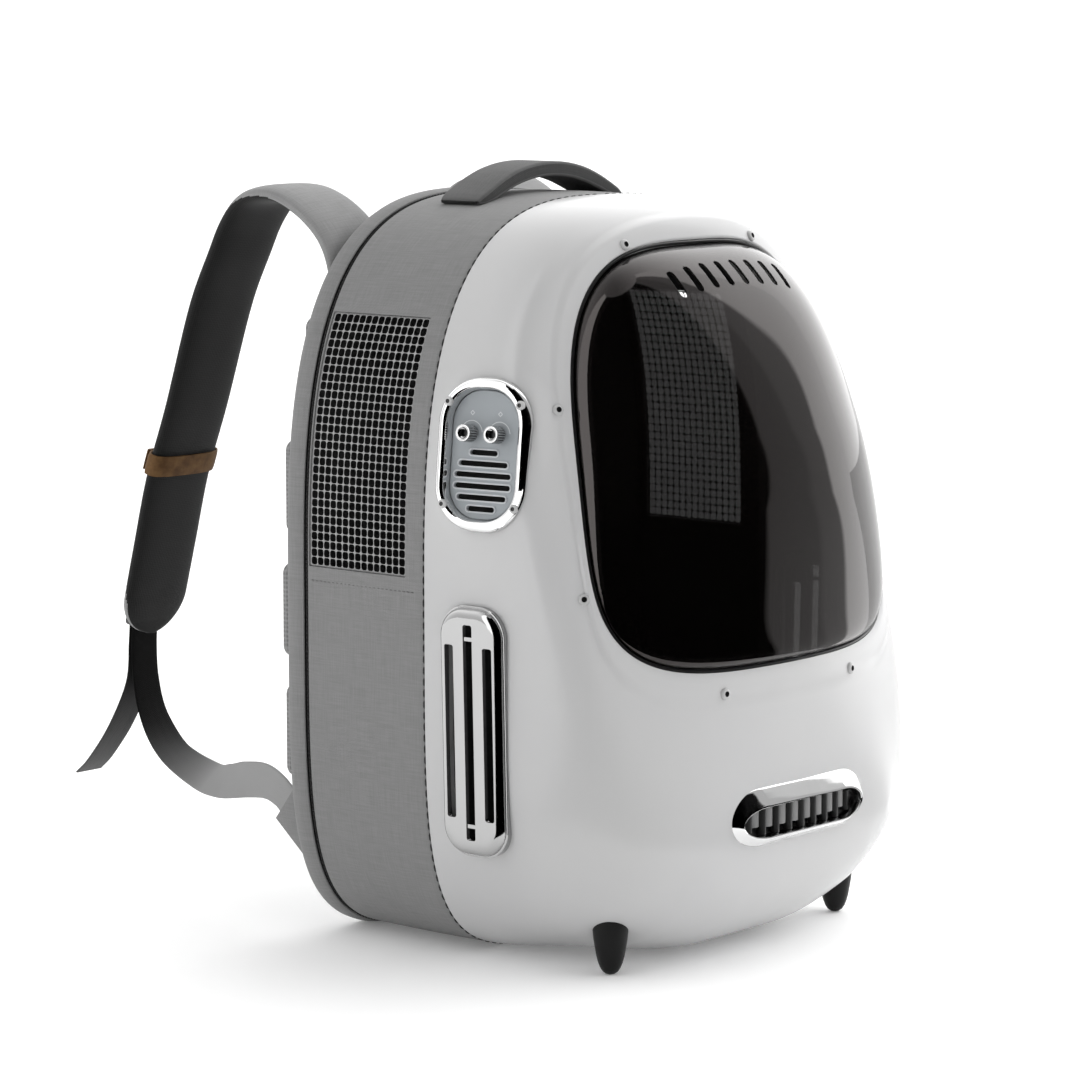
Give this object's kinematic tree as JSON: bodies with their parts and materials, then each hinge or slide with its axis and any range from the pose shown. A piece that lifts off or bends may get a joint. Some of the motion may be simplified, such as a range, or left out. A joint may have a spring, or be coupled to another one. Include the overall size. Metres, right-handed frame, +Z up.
{
  "type": "pet carrier backpack",
  "caption": "Backpack for carrying a small pet: rigid pale front shell with a smoky domed window, cloth body with mesh sides, padded back, shoulder straps and a carry handle.",
  "frame": {"origin": "on the floor under the middle of the cloth side band, at the middle of the bag's width", "axes": "+X to the right as seen from the front, -Y towards the front window, +Z up"},
  "size_m": [0.3294, 0.471, 0.4495],
  "materials": {
    "grey_cloth": "heathered grey canvas",
    "zip_trim": "black piped zip tape",
    "back_cloth": "heathered grey canvas",
    "pad_cloth": "grey spacer cloth over foam",
    "mesh_cloth": "open net",
    "shell_plastic": "gloss white",
    "smoky_window": "smoky clear plastic",
    "gasket_rubber": "black",
    "screw_steel": "polished",
    "vent_chrome": "polished",
    "foot_rubber": "dark",
    "grille_chrome": "polished",
    "grille_plastic": "dark",
    "bezel_chrome": "polished",
    "plate_paint": "satin blue grey",
    "knob_chrome": "knurled",
    "strap_cloth": "padded grey canvas",
    "keeper_leather": "tan",
    "buckle_plastic": "black",
    "webbing_cloth": "charcoal woven webbing"
  },
  "bodies": {
    "bag": {"side_band": "grey_cloth", "zip_band": "zip_trim", "back_panel": "back_cloth", "back_pad_left_1": "pad_cloth", "back_pad_left_2": "pad_cloth", "back_pad_left_3": "pad_cloth", "back_pad_left_4": "pad_cloth", "back_pad_left_5": "pad_cloth", "back_pad_right_1": "pad_cloth", "back_pad_right_2": "pad_cloth", "back_pad_right_3": "pad_cloth", "back_pad_right_4": "pad_cloth", "back_pad_right_5": "pad_cloth", "mesh_left": "mesh_cloth", "mesh_right": "mesh_cloth", "shell": "shell_plastic", "window": "smoky_window", "window_gasket": "gasket_rubber", "window_screw_top_left": "screw_steel", "window_screw_top_right": "screw_steel", "window_screw_upper_left": "screw_steel", "window_screw_upper_right": "screw_steel", "window_screw_lower_left": "screw_steel", "window_screw_lower_right": "screw_steel", "window_screw_bottom_left": "screw_steel", "window_screw_bottom_right": "screw_steel", "vent_left": "vent_chrome", "vent_right": "vent_chrome", "foot_left": "foot_rubber", "foot_right": "foot_rubber", "grille_frame": "grille_chrome", "grille_bars": "grille_plastic", "control_bezel": "bezel_chrome", "control_plate": "plate_paint", "control_screw_upper_front": "screw_steel", "control_screw_upper_rear": "screw_steel", "control_screw_lower_front": "screw_steel", "control_screw_lower_rear": "screw_steel", "handle": "grey_cloth", "strap_left": "strap_cloth", "strap_right": "strap_cloth", "keeper_left": "keeper_leather", "keeper_right": "keeper_leather", "adjuster_left": "buckle_plastic", "adjuster_right": "buckle_plastic", "webbing_left": "webbing_cloth", "webbing_right": "webbing_cloth", "tail_left": "webbing_cloth", "tail_right": "webbing_cloth", "tab_left": "grey_cloth", "tab_right": "grey_cloth"},
    "fan_knob": {"fan_knob": "knob_chrome"},
    "light_knob": {"light_knob": "knob_chrome"}
  },
  "joints": [
    {"name": "fan_turn", "type": "hinge", "parent": "bag", "child": "fan_knob", "pos_m": [-0.15592, -0.07672, 0.3049], "axis": [-0.9847, -0.128, 0.1182], "range_deg": [-90, 90]},
    {"name": "light_turn", "type": "hinge", "parent": "bag", "child": "light_knob", "pos_m": [-0.15355, -0.09496, 0.3049], "axis": [-0.9847, -0.128, 0.1182], "range_deg": [-90, 90]}
  ]
}
